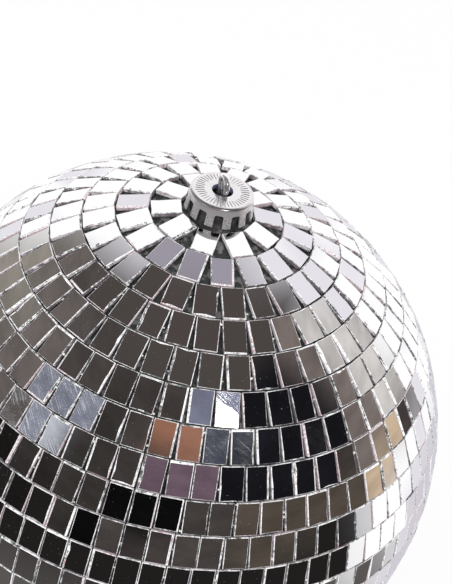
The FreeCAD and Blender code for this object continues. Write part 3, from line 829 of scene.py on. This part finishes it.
def glued_plastic():
    """Moulded plastic with dried glue on it, where the mirrors sit."""
    material, tree = new_material("core_plastic_glued")
    place = object_place(tree)
    made = settings().cap
    fine = noise(tree, place, 2600.0, 2.0)
    spread = noise(tree, place, 420.0, 3.0, 0.6)
    glue = spread.ramp(0.50, 0.58)
    base = mix_colour(tree, glue, (*made.core, 1), (*made.glue, 1))
    close_material(tree, {
        "Base Color": base, "Roughness": 0.55 - 0.35 * glue + 0.1 * fine,
        "Normal": bump(tree, spread + 0.1 * fine, 0.15 * MM, 0.7)})
    return material


def refinish(node, material):
    """Give a CAD node that stays its material."""
    for spot in NODES[node].material_slots:
        spot.link = "OBJECT"
        spot.material = material


# Corners nearer than this, in millimetres, are one corner.
JOINED = 0.002


def smooth_copy(name, node, body, material):
    """Piece with a CAD node's own surface, its loose triangles joined and shaded smooth."""
    joined = bmesh.new()
    joined.from_mesh(NODES[node].data)
    bmesh.ops.remove_doubles(joined, verts=joined.verts, dist=JOINED * MM)
    mesh = bpy.data.meshes.new(name)
    joined.to_mesh(mesh)
    joined.free()
    mesh.materials.clear()
    mesh.materials.append(material)
    mesh.polygons.foreach_set("material_index", np.zeros(len(mesh.polygons), np.int32))
    mesh.shade_smooth()
    mesh.set_sharp_from_angle(angle=SHARP)
    piece = bpy.data.objects.new(name, mesh)
    bpy.context.scene.collection.objects.link(piece)
    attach(piece, body)
    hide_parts(node)


# ---- studio

# Room that the mirrors show, as panels on a sphere round the ball: azimuth from the front,
# positive towards +X, height angle, half width, half height, softness, turn, all in
# degrees, then the panel's screen colour and how solid it is. Later panels cover earlier.
ROOM = (
    ("left wall", -100, 15, 38, 32, 9, 0, (104, 97, 94), 1.0),
    ("left wall, low glow", -118, 12, 22, 18, 12, 0, (150, 144, 136), 0.8),
    ("left low", -60, -4, 42, 11, 5, 0, (30, 28, 27), 1.0),
    ("front left", -24, 22, 12, 30, 3, 0, (57, 53, 51), 1.0),
    ("window frame", -49, 28, 15, 13, 1.5, 4, (121, 124, 138), 1.0),
    ("window", -49, 19, 5.5, 8.5, 1.0, 4, (206, 210, 220), 1.0),
    ("timber board", 4, 40, 13, 7, 1.0, -8, (150, 106, 86), 1.0),
    ("curtain", 8, 25, 18, 8, 1.0, 3, (104, 86, 98), 1.0),
    ("dark gap", -3, 3, 18, 10, 1.5, 0, (13, 13, 14), 1.0),
    ("dark wall", 62, 33, 34, 27, 3.5, 0, (25, 25, 29), 1.0),
    ("dark blue", 34, 37, 12, 6, 3.0, 10, (58, 62, 74), 1.0),
    ("lamp glow", 24, 50, 13, 7, 1.5, 0, (128, 130, 150), 1.0),
    ("right low", 62, -4, 30, 9, 4.0, 0, (82, 74, 66), 1.0),
    ("right brown", 99, 27, 10, 27, 2.0, 0, (116, 106, 102), 1.0),
    ("right grey", 116, 28, 11, 26, 2.5, 0, (202, 198, 194), 1.0),
    ("beige board", 98, -6, 11.5, 6.5, 1.5, 0, (196, 174, 148), 1.0),
)
# Brightest part of the white sweep, a little over plain white.
WHITE = (1.1, 1.1, 1.1, 1.0)


def room_colour(tree):
    """Colour of the room in a direction: ceiling, sweep, floor and panels in turn."""
    place = add_node(tree, "TexCoord", None, None, 0)
    x, y, z = (axis_of(tree, place, number) for number in range(3))
    degrees = 180 / np.pi
    height = z.maths("ARCSINE") * degrees
    azimuth = x.maths("ARCTAN2", y * -1) * degrees
    behind = abs(azimuth)
    cloud = noise(tree, place, 3.0, 2.0)
    clutter = noise(tree, place, 11.0, 3.0, 0.6)
    colour = paint_over(tree, linear((62, 57, 55)), (cloud, (78, 72, 70)))
    for _, at, up, wide, high, soft, turn, paint, solid in ROOM:
        aside = (azimuth - at).maths("WRAP", 180.0, -180.0)
        above = height - up
        if turn:
            c, s = np.cos(np.radians(turn)), np.sin(np.radians(turn))
            aside, above = aside * c + above * s, above * c - aside * s
        mask = abs(aside).ramp(wide + soft, wide - soft) * abs(above).ramp(high + soft, high - soft)
        colour = paint_over(tree, colour, (mask * solid if solid < 1 else mask, paint))
    streaks = noise(tree, stretch(tree, place, (30, 30, 110), (0.3, 0.2, 0.0)), 1.0, 3.0, 0.6)
    shade = clutter.ramp(0.2, 0.8, 0.82, 1.18) * streaks.ramp(0.3, 0.7, 0.86, 1.14)
    colour = add_node(tree, "VectorMath", {"operation": "SCALE"}, {0: colour, "Scale": shade})
    # Ceiling, with a lighter rim over the sweep.
    ceiling = paint_over(tree, linear((77, 71, 68)), (behind.ramp(125, 145), (160, 155, 166)),
                         (height.ramp(70, 79), (78, 71, 69)))
    colour = mix_colour(tree, height.ramp(56, 60), colour, ceiling)
    # White sweep behind: its sides, and its top edge, which sags a little.
    sweep = behind.ramp(127, 134) * height.ramp(61, 57)
    right = azimuth.ramp(122, 127) * height.ramp(56, 52)
    white = mix_colour(tree, cloud.ramp(0.40, 0.46), linear((236, 233, 240)), WHITE)
    colour = mix_colour(tree, sweep.maths("MAXIMUM", right), colour, white)
    # Below the horizon: sweep runs on as the table, dark in front of it.
    table = mix_colour(tree, behind.ramp(78, 92), linear((34, 32, 31)), white)
    under = paint_over(
        tree, table,
        (height.ramp(-22, -32) * behind.ramp(110, 130), (212, 208, 217)),
        (height.ramp(-32, -40) * behind.ramp(125, 105), (92, 88, 86)),
        (height.ramp(-60, -64), (206, 204, 202)))
    return mix_colour(tree, height.ramp(-9, -14), colour, under)


def build_world(level):
    """Even light for matt surfaces, white for the camera, the room for shiny surfaces."""
    world = bpy.data.worlds.new("studio")
    bpy.context.scene.world = world
    world.use_nodes = True
    tree = world.node_tree
    tree.nodes.clear()
    camera_ray, glossy_ray, through_ray = (
        add_node(tree, "LightPath", None, None, name)
        for name in ("Is Camera Ray", "Is Glossy Ray", "Is Transmission Ray"))
    plain = (1, 1, 1, 1)
    even, room, white = (
        add_node(tree, "Background", None, {"Color": colour, "Strength": strength})
        for colour, strength in ((plain, level), (room_colour(tree), 1.0), (plain, 1.0)))
    shiny = glossy_ray.maths("MAXIMUM", through_ray)
    lit = add_node(tree, "MixShader", None, {0: shiny, 1: even, 2: room})
    seen = add_node(tree, "MixShader", None, {0: camera_ray, 1: lit, 2: white})
    add_node(tree, "OutputWorld", None, {"Surface": seen})


def add_lamp(name, azimuth, height, away, size, turn, power, shown):
    """Soft rectangular lamp that faces the ball from a direction; shown puts it in mirrors."""
    lamp = bpy.data.lights.new(name, "AREA")
    lamp.shape, lamp.size, lamp.size_y, lamp.energy = "RECTANGLE", *size, power
    holder = bpy.data.objects.new(name, lamp)
    aim = -Vector(direction(azimuth, height))
    place = aim.to_track_quat("-Z", "Y").to_matrix() @ Matrix.Rotation(np.radians(turn), 3, "Z")
    holder.matrix_world = Matrix.Translation(Vector(CENTRE) - aim * away) @ place.to_4x4()
    holder.visible_glossy = shown
    holder.visible_camera = False
    bpy.context.scene.collection.objects.link(holder)


# Floor: cells round it, radii of its rings in metres, and its gap under the ball.
FLOOR_TURNS, FLOOR_RINGS, FLOOR_GAP = 96, np.array([0.05, 0.15, 0.4, 1.0, 3.0, 9.0]), 0.4 * MM


def build_floor(colour):
    """Round pale floor under the ball. The camera sees it as white with the ball's shadow."""
    angle = np.linspace(0, 2 * np.pi, FLOOR_TURNS, endpoint=False)
    reach, turn = np.meshgrid(FLOOR_RINGS, angle, indexing="ij")
    low = CAD_BOX[0][2] - FLOOR_GAP
    points = np.stack([reach * np.cos(turn), reach * np.sin(turn), 0 * reach + low], 2).reshape(-1, 3)
    points = np.vstack([[0, 0, low], points])
    loops, counts = disc_faces(FLOOR_TURNS, len(FLOOR_RINGS))
    material, tree = new_material("pale_floor")
    place = object_place(tree)
    speck = noise(tree, place, 60.0, 3.0)
    paint = mix_colour(tree, speck * 0.06, (*colour, 1), (0.6, 0.6, 0.6, 1))
    matt = add_node(tree, "BsdfDiffuse", None, {"Color": paint})
    glow = add_node(tree, "Emission", None, {"Color": (1, 1, 1, 1), "Strength": 1.0})
    camera_ray = add_node(tree, "LightPath", None, None, "Is Camera Ray")
    mixed = add_node(tree, "MixShader", None, {0: camera_ray * 0.9, 1: matt, 2: glow})
    add_node(tree, "OutputMaterial", None, {"Surface": mixed})
    floor = add_piece("floor", points, loops, counts, [material])
    floor.visible_glossy = False


# ---- operators

# Each row's seed is its number; this is the bottom mirror's.
BOTTOM_SEED = 99


class CutMirrors(bpy.types.Operator):
    """Cut the rows of mirrors and the bottom mirror"""

    bl_idname = "mirror_ball.cut_mirrors"
    bl_label = "Mirrors"

    def execute(self, context):
        materials = [mirror_face(), mirror_edge()]
        for number, node in enumerate(ROW_NAMES, start=1):
            cut_mirrors(f"mirrors_row_{number:02d}", node, number, materials)
        cut_mirrors("bottom_mirror", "bottom_tile", BOTTOM_SEED, materials)
        return {"FINISHED"}


class DropCrumbs(bpy.types.Operator):
    """Leave crumbs of glue and glass in the gaps between mirrors"""

    bl_idname = "mirror_ball.drop_crumbs"
    bl_label = "Glue crumbs"

    def execute(self, context):
        glue_crumbs("glue_crumbs", CRUMBS, dried_glue())
        return {"FINISHED"}


class FinishCore(bpy.types.Operator):
    """Finish the plastic ball and its neck"""

    bl_idname = "mirror_ball.finish_core"
    bl_label = "Core and neck"

    def execute(self, context):
        shell = glued_plastic()
        refinish("core_upper_half", shell)
        refinish("core_lower_half", shell)
        smooth_copy("neck", "neck_plug", "ball", neck_plastic())
        return {"FINISHED"}


class PressCap(bpy.types.Operator):
    """Press the crown cap with its ticks, slots and tabs"""

    bl_idname = "mirror_ball.press_cap"
    bl_label = "Cap"

    def execute(self, context):
        press_cap("cap", [cap_metal(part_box("crown_cap")[1].z)])
        return {"FINISHED"}


class FinishLoop(bpy.types.Operator):
    """Finish the hanging loop"""

    bl_idname = "mirror_ball.finish_loop"
    bl_label = "Hanging loop"

    def execute(self, context):
        smooth_copy("loop", "hanger_loop", "loop", plated_wire())
        return {"FINISHED"}


# Lamps: azimuth and height, distance, sides, turn. The key lamp is the one that mirrors
# show; the key light beside it and the fill lamp only light matt surfaces.
FILL_LAMP = (-52, 52, 2.0, (1.4, 1.4), 0)
KEY_LAMP = (26.74, 43.25, 2.09, (0.354, 0.354), 45)
KEY_LIGHT = (26.74, 43.25, 2.2, (0.40, 0.40), 45)
# Camera: width of its sensor in millimetres, nearest and farthest distance it sees in metres.
SENSOR, NEAR, FAR = 36.0, 0.01, 50.0
# Camera: place from the ball's centre in units of its radius over the glass, then its
# right, up and backward directions.
CAMERA_PLACE = (0.0, -3.7138, 3.6404)
CAMERA_AXES = ((0.972052, 0.131428, 0.194526), (-0.233945, 0.611384, 0.755962),
               (-0.019575, -0.780342, 0.625045))


class BuildStudio(bpy.types.Operator):
    """Build the floor, light, room and camera"""

    bl_idname = "mirror_ball.build_studio"
    bl_label = "Studio"

    def execute(self, context):
        made = settings().studio
        scene = context.scene
        scene.view_settings.view_transform = "Standard"
        build_world(made.level)
        build_floor(made.floor)
        middle, _, _, out, _, _, thick = mirror_frames(ROW_NAMES[len(ROW_NAMES) // 2])
        radius = float((((middle - CENTRE) * out).sum(1) + thick).mean())
        add_lamp("fill_lamp", *FILL_LAMP, made.fill, False)
        add_lamp("key_lamp", *KEY_LAMP, made.lamp, True)
        add_lamp("key_light", *KEY_LIGHT, made.key, False)
        camera = bpy.data.cameras.new("camera")
        camera.lens, camera.sensor_width = made.lens, SENSOR
        camera.clip_start, camera.clip_end = NEAR, FAR
        camera_object = bpy.data.objects.new("camera", camera)
        axes = Matrix(CAMERA_AXES).transposed().to_4x4()
        axes.translation = Vector(CENTRE + radius * np.array(CAMERA_PLACE))
        camera_object.matrix_world = axes
        scene.collection.objects.link(camera_object)
        scene.camera = camera_object
        return {"FINISHED"}


class BallPanel(bpy.types.Panel):
    """Settings and steps of the mirror ball"""

    bl_idname = "VIEW3D_PT_mirror_ball"
    bl_label = "Mirror Ball"
    bl_space_type = "VIEW_3D"
    bl_region_type = "UI"
    bl_category = "Mirror Ball"

    def draw(self, context):
        made = context.scene.mirror_ball
        for group in (made.mirrors, made.cap, made.studio):
            box = self.layout.box()
            for name in group.bl_rna.properties.keys():
                if name not in ("rna_type", "name"):
                    box.prop(group, name)
        for step in STEPS:
            self.layout.operator(step.bl_idname)


STEPS = (CutMirrors, DropCrumbs, FinishCore, PressCap, FinishLoop, BuildStudio)
CLASSES = (MirrorSettings, CapSettings, StudioSettings, BallSettings, *STEPS, BallPanel)


def register():
    """Register the classes and the scene's settings."""
    for kind in CLASSES:
        bpy.utils.register_class(kind)
    bpy.types.Scene.mirror_ball = bpy.props.PointerProperty(type=BallSettings)


def unregister():
    """Take the classes and the settings away again."""
    del bpy.types.Scene.mirror_ball
    for kind in reversed(CLASSES):
        bpy.utils.unregister_class(kind)


def main():
    """Register the settings and build every piece in order."""
    register()
    for step in STEPS:
        group, name = step.bl_idname.split(".")
        getattr(getattr(bpy.ops, group), name)()


if __name__ == "__main__":
    main()
